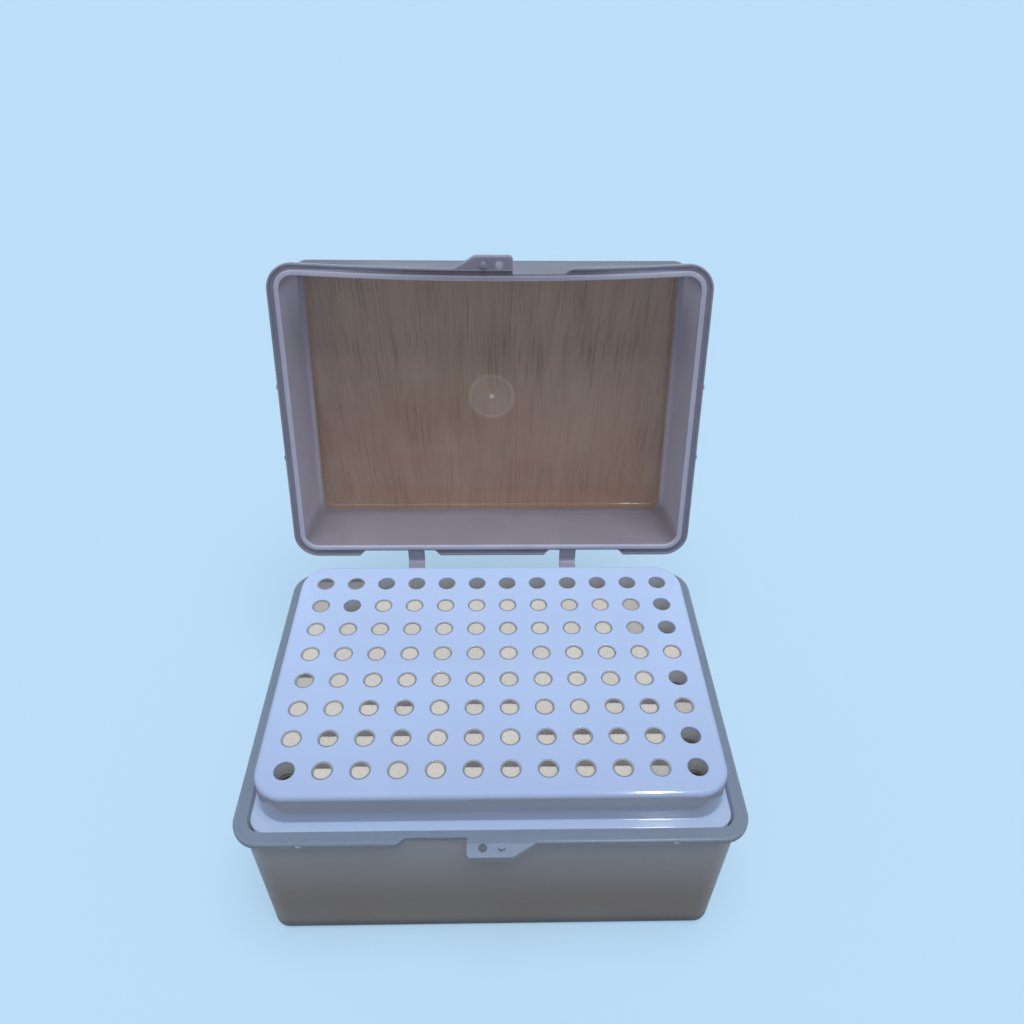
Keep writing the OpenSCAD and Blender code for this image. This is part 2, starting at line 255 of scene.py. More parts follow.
def socket_group():
    """1 inside the sockets: within a radius of the nearest point of the grid of sockets,
    and under the deck, fading in from 0.2 to 1.6 mm down."""
    tree, w, given, out = new_group(
        "socket room",
        [("Vector", "vector"), ("Deck", "float"), ("Radius", "float")],
        [("Mask", "float")])
    parts = w.add("ShaderNodeSeparateXYZ", {0: given.outputs["Vector"]}).outputs
    offsets = []
    for axis in ("X", "Y"):
        cell = w.add("ShaderNodeMath", {0: parts[axis], 1: PITCH, 2: 0.0},
                     operation="WRAP").outputs[0]
        offsets.append(w.math("SUBTRACT", cell, PITCH / 2))
    flat = w.add("ShaderNodeCombineXYZ", {"X": offsets[0], "Y": offsets[1]})
    far = w.add("ShaderNodeVectorMath", {0: flat.outputs[0]}, operation="LENGTH")
    near = w.math("LESS_THAN", far.outputs["Value"], given.outputs["Radius"])
    for axis, half in (("X", COLUMNS / 2 * PITCH), ("Y", ROWS / 2 * PITCH)):
        inside = w.math("LESS_THAN", w.math("ABSOLUTE", parts[axis]), half)
        near = w.math("MULTIPLY", near, inside)
    depth = w.math("SUBTRACT", given.outputs["Deck"], parts["Z"])
    under = w.spread(depth, 0.2 * MM, 1.6 * MM)
    w.feed(out.inputs["Mask"], w.math("MULTIPLY", near, under))
    return tree


def ring_group():
    """A thin ring about the Z axis: 1 - |r - radius| / width, held above 0, and the
    disc inside it."""
    tree, w, given, out = new_group(
        "moulded ring",
        [("Vector", "vector"), ("Radius", "float"), ("Width", "float")],
        [("Mask", "float"), ("Inside", "float")])
    flat = w.vector("MULTIPLY", given.outputs["Vector"], (1, 1, 0))
    far = w.add("ShaderNodeVectorMath", {0: flat}, operation="LENGTH").outputs["Value"]
    off = w.math("SUBTRACT", far, given.outputs["Radius"])
    near = w.math("DIVIDE", w.math("ABSOLUTE", off), given.outputs["Width"])
    w.feed(out.inputs["Mask"], w.math("SUBTRACT", 1.0, near, clamp=True))
    w.feed(out.inputs["Inside"], w.math("LESS_THAN", off, 0.0))
    return tree


def streak_group():
    """Upright grain seen through the panel: noise drawn out along Y on lines that
    spread towards the latch, x / (1 + 0.2 up), in broad bands and in thin dashes that
    come in clusters."""
    tree, w, given, out = new_group(
        "upright streaks", [("Vector", "vector")],
        [("Band", "float"), ("Dash", "float"), ("Up", "float")])
    parts = w.add("ShaderNodeSeparateXYZ", {0: given.outputs["Vector"]}).outputs
    up = w.spread(parts["Y"], -38 * MM, 38 * MM, 1, 0, smooth=False)
    spread = w.math("ADD", w.math("MULTIPLY", up, 0.2), 1.0)
    across = w.math("DIVIDE", parts["X"], spread)
    fanned = w.add("ShaderNodeCombineXYZ", {"X": across, "Y": parts["Y"]}).outputs[0]
    sway = w.add("ShaderNodeTexNoise", {"Vector": fanned, "Scale": 30.0, "Detail": 1.0})
    swayed = w.vector("ADD", fanned,
                      w.vector("MULTIPLY", sway.outputs["Color"], (1.2 * MM, 0, 0)))

    def drawn_out(along, scale, detail, roughness):
        """Noise whose spots are 1 / along times as long in Y as they are wide in X."""
        lines = w.vector("MULTIPLY", swayed, (1.0, along, 0.0))
        return w.noise(lines, scale, detail, roughness)

    band = drawn_out(0.1, 260.0, 4.0, 0.65)
    fine = drawn_out(0.03, 1500.0, 2.0, 0.6)
    knot = drawn_out(0.3, 110.0, 2.0, 0.6)
    smudge = drawn_out(0.14, 330.0, 2.0, 0.5)
    dash = w.spread(fine, 0.5, 0.66)
    dash = w.math("MULTIPLY", dash, w.spread(knot, 0.36, 0.6, 0.3, 1.0))
    dash = w.math("ADD", dash, w.spread(smudge, 0.66, 0.78, 0, 0.7), clamp=True)
    w.feed(out.inputs["Band"], w.spread(band, 0.35, 0.65))
    w.feed(out.inputs["Dash"], dash)
    w.feed(out.inputs["Up"], up)
    return tree


# The shared groups made so far, by name.
GROUPS = {}


def group(wires, name, feeds):
    """One of the shared groups placed in a tree, made the first time it is used."""
    makers = {"grain": mould_grain_group, "cloud": cloud_group,
              "plan": plan_mask_group, "streaks": streak_group,
              "sockets": socket_group, "ring": ring_group}
    if name not in GROUPS:
        GROUPS[name] = makers[name]()
    return wires.add("ShaderNodeGroup", feeds, node_tree=GROUPS[name])


def within(wires, vector, plan, fade):
    """The mask of a rounded rectangle of the box's plan, and the distance from it."""
    across, deep, corner = plan
    return group(wires, "plan", {"Vector": vector, "Half": (across, deep, 0),
                                 "Corner": corner, "Fade": fade}).outputs


def glow(wires, shader, mask, tint):
    """A painted glow: emission where the mask is 1, standing in for the light that comes
    through a thin wall.
    """
    wires.feed(shader.inputs["Emission Color"], wires.mix(mask, (0, 0, 0), tint))
    shader.inputs["Emission Strength"].default_value = 1.0


def new_material(name):
    """An empty material with its Principled BSDF, and the wiring to add to it."""
    material = bpy.data.materials.new(name)
    material.use_nodes = True
    material.node_tree.nodes.clear()
    wires = Wiring(material.node_tree)
    shader = wires.add("ShaderNodeBsdfPrincipled")
    out = wires.add("ShaderNodeOutputMaterial")
    wires.feed(out.inputs["Surface"], shader.outputs["BSDF"])
    place = wires.add("ShaderNodeTexCoord").outputs["Object"]
    return material, wires, shader, place


def bump(wires, shader, height, distance, strength=1.0):
    """Feeds a height to the shader's normal, through a Bump node."""
    node = wires.add("ShaderNodeBump", {"Strength": strength, "Distance": distance,
                                        "Height": height})
    wires.feed(shader.inputs["Normal"], node.outputs["Normal"])


def let_light_through(shader, depth):
    """Lets light wander through a thin frosted wall, about this deep."""
    shader.inputs["Subsurface Weight"].default_value = 1.0
    shader.inputs["Subsurface Radius"].default_value = (1.0, 1.0, 1.0)
    shader.inputs["Subsurface Scale"].default_value = depth


def dress(names, material):
    """Gives CAD nodes a material in every slot that they have."""
    for name in names:
        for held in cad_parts[name].material_slots:
            held.material = material


# ---- sizes and colours that a user would change -----------------------------


class TubFinish(PropertyGroup):
    # Painted light and shade on one frosted plastic: the upper wall lighter, the lower wall
    # darker and browner, the flange darker and the tab lighter, each for how light falls.
    upper: colour("Upper wall", "Frosted wall near the flange", (176, 180, 193))
    lower: colour("Lower wall", "Frosted wall near the foot", (139, 122, 110))
    # Painted shade: the foot's dark colour stands for the shade round the bottom of the tub.
    foot: colour("Foot", "Thicker plastic round the foot", (60, 51, 45))
    flange: colour("Flange", "Flange and the mouth of the tub", (125, 139, 159))
    tab: colour("Tab", "Finger tab of the latch", (141, 154, 177))
    # Painted glow: emission that lightens the shaded gap inside the tub's rim.
    through: colour("Through the rim", "Light that the rim lets in", (84, 89, 100))
    grain: length("Grain", "Size of the moulded grain", 0.45)


class LidFinish(PropertyGroup):
    # Painted light and shade on one frosted plastic: the end walls lighter, the hinged wall
    # darker and the latch wall darkest, with the bead and the flange in tones of their own,
    # each for how light falls on it.
    frosted: colour("End walls", "Left and right sides of the lid", (192, 190, 205))
    hinged: colour("Hinged wall", "Side of the lid by the hinge", (139, 136, 149))
    latched: colour("Latch wall", "Side of the lid by the latch", (103, 103, 115))
    bead: colour("Bead", "Bright rim of the lid's wall", (184, 190, 218))
    flange: colour("Flange", "Flange and latch tab of the lid", (136, 139, 160))
    panel: colour("Panel", "Clear panel, tinted by what stands behind", (170, 138, 123))
    # Painted light: the panel grows lighter towards the latch, against the shade that the
    # latch wall casts on it.
    far: colour("Panel top", "The same, towards the latch", (210, 187, 171))
    streak: colour("Streak", "Darker upright streaks in the panel", (136, 98, 82))
    tint: colour("Panel rim", "Greener tint round the panel's rim", (160, 152, 136))
    # Painted glow: emission that lightens the lid's shaded inner corners by the latch.
    through: colour("Through the rim", "Light in the corners by the latch", (66, 68, 78))
    grain: length("Grain", "Size of the moulded grain", 0.5)
    bow: length("Bow", "Inward bow of the latch side at the middle", 1.6)
    lift: length("Lift", "Rise of the bowed side, so that its pegs clear the tub", 0.7)
    bow_half: length("Bow half", "Half the length that bows", 54.0)
    wall_foot: length("Rim height", "Height of the shut lid's rim", 48.6)
    depth: length("Depth", "Depth of the lid", 23.6)


class RackFinish(PropertyGroup):
    deck: colour("Deck", "Blue-white glossy plastic", (186, 211, 253))
    # Painted light and shade: the deck is lighter at the back and duller towards the latch,
    # for how light falls on it.
    shade: colour("Deck front", "Duller towards the latch", (166, 187, 228))
    # Painted shade: the skirt and the ledge, the same plastic as the deck, get darker tones
    # of their own for the light on them.
    skirt: colour("Skirt", "Side of the rack, under the deck", (170, 183, 208))
    ledge: colour("Ledge", "Ledge that rests in the tub", (166, 187, 218))
    socket: colour("Socket", "Inside of the sockets", (226, 229, 230))
    # Painted shade: the darker colour of the sockets' feet and of the front sockets.
    socket_shade: colour("Lip", "Foot of the sockets", (130, 129, 126))
    grain: length("Grain", "Size of the fine orange peel", 1.6)


class TipFinish(PropertyGroup):
    wall: colour("Wall", "Translucent tip wall", (163, 163, 166))
    haze: colour("Haze", "Milkier places in the wall", (178, 179, 183))


class FilterFinish(PropertyGroup):
    fibre: colour("Fibre", "Sintered filter plug", (210, 208, 201))
    pore: colour("Pore", "Darker pores", (184, 180, 170))
    # Painted shade: the dark colour of plugs that sit in shade.
    plug_shade: colour("Stain", "Darkened plug", (130, 132, 138))
    grain: length("Grain", "Size of a pore", 0.16)
    radius: length("Radius", "Radius of a plug at its top", 2.1)
    depth: length("Depth", "Length of a plug", 4.0)


class StrapShape(PropertyGroup):
    # Painted shade: the part of a strap by the tub is darker than the part by the lid, which
    # takes the lid's own tones.
    foot: colour("Foot", "Part of a strap between its fold and the tub", (139, 141, 164))
    places: length("Place", "Middle of each strap, left and right of the box", 24.0)
    width: length("Width", "Width of a strap", 5.2)
    thickness: length("Thickness", "Thickness of a strap", 0.6)
    thin: length("Fold thickness", "Thickness at the living hinge", 0.3)
    bend: length("Bend", "Length of strap that the fold takes on each side", 1.3)


class StageLook(PropertyGroup):
    backdrop: colour("Backdrop", "Pale floor and background", (188, 222, 249))
    bounce: colour("Bounce", "Floor as it lights the box from below", (120, 116, 112))
    glow: share("Glow", "Part of the floor's colour that shadows leave alone", 0.55)
    sky: share("Sky", "Even light from all round", 0.3)
    overhead: share("Overhead", "Soft light from above", 0.72)
    glint: FloatProperty(name="Glint", description="Tall pane that shows in the gloss",
                         default=1.8, min=0, unit="POWER")


# ---- straps -----------------------------------------------------------------


def skin(name, points):
    """A tube-like mesh from a grid of points (along, around, xyz); it closes round the
    second way, and each end is one face."""
    along, around, _ = points.shape
    number = np.arange(along * around).reshape(along, around)
    ahead = np.roll(number, -1, axis=1)
    quads = np.stack([number[:-1], ahead[:-1], ahead[1:], number[1:]], axis=-1)
    faces = quads.reshape(-1, 4).tolist()
    faces.append(number[0][::-1].tolist())
    faces.append(number[-1].tolist())
    mesh = bpy.data.meshes.new(name)
    mesh.from_pydata(points.reshape(-1, 3).tolist(), [], faces)
    mesh.validate()
    mesh.shade_smooth()
    piece = bpy.data.objects.new(name, mesh)
    bpy.context.scene.collection.objects.link(piece)
    return piece


def strap_line(shape, count):
    """Middle line of the open strap in Y and Z: straight from the tub's flange to the
    fold, a quadratic curve (1-t)^2 A + 2t(1-t) F + t^2 B round it, and straight on to
    the lid's flange. Gives the points, their normals and the distance from the fold."""
    fold = np.array(FOLD)
    root = np.array(STRAP_ROOT)
    top = np.array(STRAP_TOP)
    first = (fold - root) / np.linalg.norm(fold - root)
    last = (top - fold) / np.linalg.norm(top - fold)
    out = shape.thickness / 2
    middle = fold + out * np.array(STRAP_OUTWARD)
    start = root + out * np.array([first[1], -first[0]])
    end = top + out * np.array([last[1], -last[0]])
    before = middle - first * shape.bend
    after = middle + last * shape.bend
    t = np.linspace(0, 1, count)[:, None]
    curve = (1 - t) ** 2 * before + 2 * t * (1 - t) * middle + t ** 2 * after
    line = np.vstack([start + (before - start) * t[:-1], curve,
                      after + (end - after) * t[1:]])
    way = np.gradient(line, axis=0)
    way /= np.linalg.norm(way, axis=1)[:, None]
    normal = np.stack([way[:, 1], -way[:, 0]], axis=1)
    far = np.linalg.norm(line - middle, axis=1)
    return line, normal, far


def strap(name, place, shape):
    """A bent strip: its section is the rounded box |a/w|^6 + |b/t|^6 = 1, thinner by
    exp(-(s/bend)^2) at the fold, and carried along the strap line."""
    line, normal, far = strap_line(shape, 16)
    angle = np.linspace(0, 2 * np.pi, 28, endpoint=False)
    across = np.sign(np.cos(angle)) * np.abs(np.cos(angle)) ** (1 / 3)
    deep = np.sign(np.sin(angle)) * np.abs(np.sin(angle)) ** (1 / 3)
    thinned = shape.thickness - shape.thin
    thick = shape.thickness - thinned * np.exp(-(far / shape.bend) ** 2)
    x = place + np.broadcast_to(across * shape.width / 2, (len(line), len(angle)))
    lift = deep[None, :] * thick[:, None] / 2
    y = line[:, :1] + lift * normal[:, :1]
    z = line[:, 1:] + lift * normal[:, 1:]
    return skin(name, np.stack([x, y, z], axis=-1)[:, ::-1])


# ---- lid --------------------------------------------------------------------


def smooth_step(value):
    """3v^2 - 2v^3 of a value held between 0 and 1."""
    held = np.clip(value, 0, 1)
    return held * held * (3 - 2 * held)


def bowed_lid(name, shape):
    """The lid's own shell, shut, cut across every 4 mm, its latch side pulled inwards by
    bow * (1 - (x / half)^2) * h and up by the same share of lift, where h falls from 1
    at the rim to 0 at the top, and then opened again about the fold. The pull fades in
    from 24 to 36 mm towards the latch."""
    open_up = (Matrix.Translation((0, *FOLD)) @ Matrix.Rotation(-OPEN_ANGLE, 4, "X")
               @ Matrix.Translation((0, -FOLD[0], -FOLD[1])))
    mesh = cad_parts["lid"].data.copy()
    mesh.name = name
    if "custom_normal" in mesh.attributes:
        mesh.attributes.remove(mesh.attributes["custom_normal"])
    work = bmesh.new()
    work.from_mesh(mesh)
    bmesh.ops.remove_doubles(work, verts=work.verts, dist=0.001 * MM)
    work.transform(open_up.inverted())
    for cut in np.arange(-52, 53, 4) * MM:
        bmesh.ops.bisect_plane(work, geom=work.verts[:] + work.edges[:] + work.faces[:],
                               dist=0.0001 * MM, plane_co=(cut, 0, 0), plane_no=(1, 0, 0))
    work.to_mesh(mesh)
    work.free()
    flat = np.empty(len(mesh.vertices) * 3)
    mesh.vertices.foreach_get("co", flat)
    points = flat.reshape(-1, 3)
    along = np.clip(1 - (points[:, 0] / shape.bow_half) ** 2, 0, 1)
    fade_from, fade_over = 24 * MM, 12 * MM
    front = smooth_step((-points[:, 1] - fade_from) / fade_over)
    rim = np.clip(1 - (points[:, 2] - shape.wall_foot) / shape.depth, 0, 1)
    give = along * front * rim
    points[:, 1] += shape.bow * give
    points[:, 2] += shape.lift * give
    mesh.vertices.foreach_set("co", points.reshape(-1))
    mesh.transform(open_up)
    mesh.shade_smooth()
    mesh.set_sharp_from_angle(angle=math.radians(32))
    piece = bpy.data.objects.new(name, mesh)
    bpy.context.scene.collection.objects.link(piece)
    return piece


# ---- filter plugs -----------------------------------------------------------


def bore_radius(depth):
    """Radius of a tip's bore at a depth under its mouth, a straight taper."""
    return BORE_RADIUS - BORE_TAPER * depth


def filter_plugs(name, shape):
    """All plugs in one mesh. Each is a disc of rings and a tapered side with a pole at
    either end; the top lies at depth d, and behind the line y = y0 it falls at a slope
    of 2.2, as in a plug that was pushed in askew: z = -d - 2.2 max(0, y - y0)."""
    letters = np.array([list(row) for row in STOCK])
    row, col = np.nonzero(letters != ".")
    kind = letters[row, col]
    low = np.char.lower(np.where(kind == "D", "a", kind))
    depth = np.select([low == "f", low == "a"], [0.3, 0.4], 0.5)[:, None, None] * MM
    line = np.select([low == "f", low == "a"], [9.0, 1.3], 0.9)[:, None, None] * MM
    reaches = np.array([0.0, 0.3, 0.5, 0.66, 0.8, 0.9, 0.97, 1.0, 1.0, 0.0])
    rings, around, top_rings = len(reaches), 24, 8
    ring = reaches[None, :, None]
    angle = np.linspace(0, 2 * np.pi, around, endpoint=False)[None, None, :]
    on_top = np.arange(rings)[None, :, None] < top_rings
    y = ring * shape.radius * np.sin(angle)
    slope, gap = 2.2, 0.06 * MM
    top = depth + slope * np.clip(y - line, 0, None)
    bottom = depth + shape.depth
    down = np.where(on_top, top, bottom)
    reach = ring * np.where(on_top, bore_radius(top), bore_radius(bottom)) - gap * ring
    spots = np.stack([(col - (COLUMNS - 1) / 2) * PITCH,
                      ((ROWS - 1) / 2 - row) * PITCH], axis=-1)
    full = (len(kind), rings, around)
    points = np.stack([
        np.broadcast_to(spots[:, 0, None, None] + reach * np.cos(angle), full),
        np.broadcast_to(spots[:, 1, None, None] + reach * np.sin(angle), full),
        np.broadcast_to(MOUTH_Z - down, full)], axis=-1)
    number = np.arange(points[..., 0].size).reshape(full)
    ahead = np.roll(number, -1, axis=2)
    quads = np.stack([number[:, :-1], number[:, 1:], ahead[:, 1:], ahead[:, :-1]], axis=-1)
    mesh = bpy.data.meshes.new(name)
    mesh.from_pydata(points.reshape(-1, 3).tolist(), [], quads.reshape(-1, 4).tolist())
    # Painted shade on the capital kinds and D, with a small random tone added to every plug.
    plug_shade = np.select([kind == k for k in SHADED_PLUGS], list(SHADED_PLUGS.values()), 0.0)
    uneven = 0.12
    shade = np.random.default_rng(5).random(len(kind)) * uneven
    tone = np.broadcast_to((plug_shade + shade).clip(0, 1)[:, None, None], full)
    mesh.attributes.new("plug_shade", "FLOAT", "POINT").data.foreach_set("value", tone.ravel())
    work = bmesh.new()
    work.from_mesh(mesh)
    bmesh.ops.remove_doubles(work, verts=work.verts, dist=0.0005 * MM)
    work.to_mesh(mesh)
    work.free()
    mesh.shade_smooth()
    mesh.set_sharp_from_angle(angle=math.radians(40))
    piece = bpy.data.objects.new(name, mesh)
    bpy.context.scene.collection.objects.link(piece)
    return piece


# ---- operators --------------------------------------------------------------


class TIPBOX_OT_tub(Operator):
    """Gives the tub its frosted wall, greyer towards the foot as painted shade, with moulded
    grain
    """

    bl_idname = "tip_box.tub"
    bl_label = "Finish tub"

    def execute(self, context):
        look = context.scene.tip_box_tub
        low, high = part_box("base_box")
        material, w, shader, place = new_material("frosted_tub")
        height = w.part(place, "Z")
        cloud = group(w, "cloud", {"Vector": place, "Size": 30 * MM})
        grain = group(w, "grain", {"Vector": place, "Grain": look.grain})
        # Painted light and shade: the wall runs from the darker lower colour up to the
        # lighter upper one, with a darker flange, a lighter tab and the darkest foot.
        wavy = w.math("ADD", height, w.math("MULTIPLY", cloud.outputs["Tone"], 2 * MM))
        painted_light_rise = w.spread(wavy, low.z + 14 * MM, high.z + 1 * MM)
        wall = w.mix(painted_light_rise, look.lower, look.upper)
        flange = w.spread(height, high.z - 4 * MM, high.z - 1.5 * MM)
        wall = w.mix(flange, wall, look.flange)
        beyond_flange = w.spread(w.part(place, "Y"), -45.2 * MM, -45.6 * MM)
        tab = w.math("MULTIPLY", flange, beyond_flange)
        wall = w.mix(tab, wall, look.tab)
        foot = w.spread(height, low.z + 1.5 * MM, low.z + 6.5 * MM, 1, 0)
        wall = w.mix(foot, wall, look.foot)
        wall = w.mix(w.math("MULTIPLY", grain.outputs["Tone"], 0.01), wall, (1, 1, 1))
        w.feed(shader.inputs["Base Color"], wall)
        rough = w.math("ADD", 0.34, w.math("MULTIPLY", cloud.outputs["Tone"], 0.1))
        w.feed(shader.inputs["Roughness"], rough)
        let_light_through(shader, 1 * MM)
        # Painted glow: emission on the tub's inner wall just under the rim, lightening the
        # shaded gap by the rack's ledge.
        lit = w.math("MULTIPLY", w.spread(height, 40 * MM, 46 * MM),
                     w.spread(height, 47.7 * MM, 48.2 * MM, 1, 0))
        mouth = within(w, place, TUB_MOUTH, 0.3 * MM)["Mask"]
        glow(w, shader, w.math("MULTIPLY", lit, mouth), look.through)
        bump(w, shader, grain.outputs["Height"], 0.04 * MM, 0.3)
        dress(["base_box"], material)
        return {"FINISHED"}


class TIPBOX_OT_lid(Operator):
    """Gives the lid its frosted sides and its clear, streaked panel"""

    bl_idname = "tip_box.lid"
    bl_label = "Finish lid"

    def execute(self, context):
        look = context.scene.tip_box_lid
        material, w, shader, place = new_material("clear_lid")
        laid = self.lay_shut(w, place)
        height = w.part(laid, "Z")
        across = w.part(laid, "Y")
        cloud = group(w, "cloud", {"Vector": laid, "Size": 26 * MM}).outputs["Tone"]
        grain = group(w, "grain", {"Vector": laid, "Grain": look.grain})
        inside = within(w, laid, LID_PANEL, 0.8 * MM)
        above = w.spread(height, 69.2 * MM, 69.8 * MM)
        panel = w.math("MULTIPLY", inside["Mask"], above)
        wall = self.wall_colour(w, look, laid, height, across, cloud)
        sight = self.panel_colour(w, look, laid, inside["Distance"], cloud)
        w.feed(shader.inputs["Base Color"], w.mix(panel, wall, sight))
        rough = w.math("SUBTRACT", 0.5, w.math("MULTIPLY", panel, 0.45))
        w.feed(shader.inputs["Roughness"], rough)
        faint = w.math("SUBTRACT", 1.0, w.math("MULTIPLY", panel, 0.97))
        bump(w, shader, w.math("MULTIPLY", grain.outputs["Height"], faint), 0.04 * MM, 0.4)
        let_light_through(shader, 3 * MM)
        # Painted glow: emission on the lid's inner walls towards the latch, lightening the
        # shaded corners there.
        held = within(w, laid, LID_INSIDE, 0.3 * MM)["Mask"]
        lit = w.math("MULTIPLY", held, w.spread(across, -20 * MM, -40 * MM))
        lit = w.math("MULTIPLY", lit, w.spread(height, 49.7 * MM, 50.5 * MM))
        lit = w.math("MULTIPLY", lit, w.math("SUBTRACT", 1.0, above))
        glow(w, shader, lit, look.through)
        shader.inputs["Specular IOR Level"].default_value = 0.3
        piece = bowed_lid("bowed_lid", look)
        piece.data.materials.clear()
        piece.data.materials.append(material)
        dress(["lid"], material)
        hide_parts("lid")
        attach(piece, "lid")
        return {"FINISHED"}

    def lay_shut(self, w, place):
        """Places on the open lid, turned back about the fold to where they lie when it
        is shut."""
        shut = Matrix.Rotation(OPEN_ANGLE, 3, "X")
        fold = Vector((0, *FOLD))
        return w.add("ShaderNodeMapping",
                     {"Vector": place, "Location": fold - shut @ fold,
                      "Rotation": (OPEN_ANGLE, 0, 0)}).outputs["Vector"]

    def wall_colour(self, w, look, laid, height, across, cloud):
        """Frosted walls, each side in its own tone of painted light and shade, with the bead
        and the flange in lit and shaded tones of their own.
        """
        outer = within(w, laid, LID_BEAD, 0.2 * MM)["Distance"]
        beyond = w.spread(outer, 0.0, 0.35 * MM)
        rim = w.spread(height, 48.9 * MM, 49.7 * MM, 1, 0)
        near = w.spread(height, 49.9 * MM, 50.3 * MM, 1, 0)
        wall = w.mix(w.spread(across, 36 * MM, 41 * MM), look.frosted, look.hinged)
        wall = w.mix(w.spread(across, -36 * MM, -41 * MM), wall, look.latched)
        wall = w.mix(w.math("MULTIPLY", beyond, near), wall, look.flange)
        wall = w.mix(rim, wall, w.mix(beyond, look.bead, look.flange))
        return w.mix(w.math("MULTIPLY", cloud, 0.05), wall, (1, 1, 1))

    def panel_colour(self, w, look, laid, distance, cloud):
        """The clear panel, lighter towards the latch as painted light: streaks that soften
        towards the latch, a greener rim, a little haze and the gate mark's ring, with a
        painted glint at its middle."""
        streaks = group(w, "streaks", {"Vector": laid}).outputs
        # Painted light: lighter towards the latch, against the latch wall's shade.
        sight = w.mix(w.spread(streaks["Up"], 0.35, 1.0), look.panel, look.far)
        sight = w.mix(w.math("MULTIPLY", streaks["Band"], 0.22), sight, look.streak)
        depth = w.spread(streaks["Up"], 0.55, 1.0, 0.66, 0.45)
        dark = w.math("MULTIPLY", streaks["Dash"], depth)
        sight = w.mix(dark, sight, look.streak)
        sight = w.mix(w.math("MULTIPLY", cloud, 0.08), sight, (1, 1, 1))
        sight = w.mix(w.spread(distance, -9 * MM, 0, 0, 0.4), sight, look.tint)
        gate = group(w, "ring", {"Vector": laid, "Radius": 6.9 * MM, "Width": 1.0 * MM})
        # Painted glint: a small white spot at the middle of the gate mark.
        glint_dot = group(w, "ring", {"Vector": laid, "Radius": 0.8 * MM, "Width": 0.3 * MM})
        haze = w.math("MULTIPLY", gate.outputs["Mask"], 0.1)
        haze = w.math("ADD", haze, w.math("MULTIPLY", gate.outputs["Inside"], 0.06))
        haze = w.math("ADD", haze, w.math("MULTIPLY", glint_dot.outputs["Inside"], 0.5))
        return w.mix(haze, sight, (1, 1, 1))


class TIPBOX_OT_rack(Operator):
    """Gives the rack plate its glossy blue-white plastic"""

    bl_idname = "tip_box.rack"
    bl_label = "Finish rack plate"

    def execute(self, context):
        look = context.scene.tip_box_rack
        material, w, shader, place = new_material("white_rack")
        cloud = group(w, "cloud", {"Vector": place, "Size": 22 * MM})
        grain = group(w, "grain", {"Vector": place, "Grain": look.grain})
        low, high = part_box("rack_plate")
        height = w.part(place, "Z")
        # Painted light and shade: the deck's colour runs from the lighter back to the duller
        # front, along a wavy line.
        uneven = w.math("MULTIPLY", cloud.outputs["Tone"], 6 * MM)
        wavy = w.math("ADD", w.part(place, "Y"), uneven)
        front = w.spread(wavy, ROWS / 2 * PITCH, -ROWS / 2 * PITCH, smooth=False)
        body = w.mix(front, look.deck, look.shade)
        # Painted shade on the skirt and the ledge.
        side = w.spread(height, high.z - 1.6 * MM, high.z - 0.9 * MM, 1, 0)
        body = w.mix(side, body, look.skirt)
        body = w.mix(w.spread(height, 47.5 * MM, 48.1 * MM, 1, 0), body, look.ledge)
        room = group(w, "sockets", {"Vector": place, "Deck": high.z,
                                    "Radius": 2.7 * MM}).outputs["Mask"]
        # Painted shade: the front sockets run towards the darker colour, and the feet of all
        # sockets take it below.
        pit_shade = w.mix(w.spread(front, 0.6, 1.0, 0, 0.2), look.socket, look.socket_shade)
        body = w.mix(room, body, pit_shade)
        foot = w.spread(height, high.z - 5.6 * MM, high.z - 4.6 * MM, 1, 0)
        body = w.mix(w.math("MULTIPLY", room, foot), body, look.socket_shade)
        w.feed(shader.inputs["Base Color"], body)
        rough = w.math("ADD", 0.07, w.math("MULTIPLY", cloud.outputs["Tone"], 0.04))
        w.feed(shader.inputs["Roughness"], rough)
        bump(w, shader, grain.outputs["Height"], 0.012 * MM, 0.4)
        dress(["rack_plate"], material)
        return {"FINISHED"}


class TIPBOX_OT_tips(Operator):
    """Gives the tips their thin translucent wall"""

    bl_idname = "tip_box.tips"
    bl_label = "Finish tips"

    def execute(self, context):
        look = context.scene.tip_box_tips
        material, w, shader, place = new_material("clear_tip")
        cloud = group(w, "cloud", {"Vector": place, "Size": 5 * MM})
        body = w.mix(cloud.outputs["Tone"], look.wall, look.haze)
        w.feed(shader.inputs["Base Color"], body)
        rough = w.math("ADD", 0.2, w.math("MULTIPLY", cloud.outputs["Tone"], 0.12))
        w.feed(shader.inputs["Roughness"], rough)
        dress([f"tip_column_{i + 1}" for i in range(COLUMNS)], material)
        return {"FINISHED"}


class TIPBOX_OT_filters(Operator):
    """Gives the filter plugs their porous, pale body"""

    bl_idname = "tip_box.filters"
    bl_label = "Finish filters"

    def execute(self, context):
        look = context.scene.tip_box_filters
        material, w, shader, place = new_material("filter")
        grain = group(w, "grain", {"Vector": place, "Grain": look.grain})
        pore = w.spread(grain.outputs["Height"], 0.38, 0.5, 1, 0)
        body = w.mix(w.math("MULTIPLY", pore, 0.7), look.fibre, look.pore)
        # Each plug's painted shade and random tone, read from its mesh.
        plug_shade = w.add("ShaderNodeAttribute", attribute_name="plug_shade",
                      attribute_type="GEOMETRY").outputs["Fac"]
        body = w.mix(plug_shade, body, look.plug_shade)
        w.feed(shader.inputs["Base Color"], body)
        shader.inputs["Roughness"].default_value = 0.9
        bump(w, shader, grain.outputs["Height"], 0.06 * MM, 0.8)
        columns = [f"filter_column_{i + 1}" for i in range(COLUMNS)]
        dress(columns, material)
        piece = filter_plugs("filter_plugs", look)
        piece.data.materials.append(material)
        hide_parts(*columns)
        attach(piece, "base")
        return {"FINISHED"}


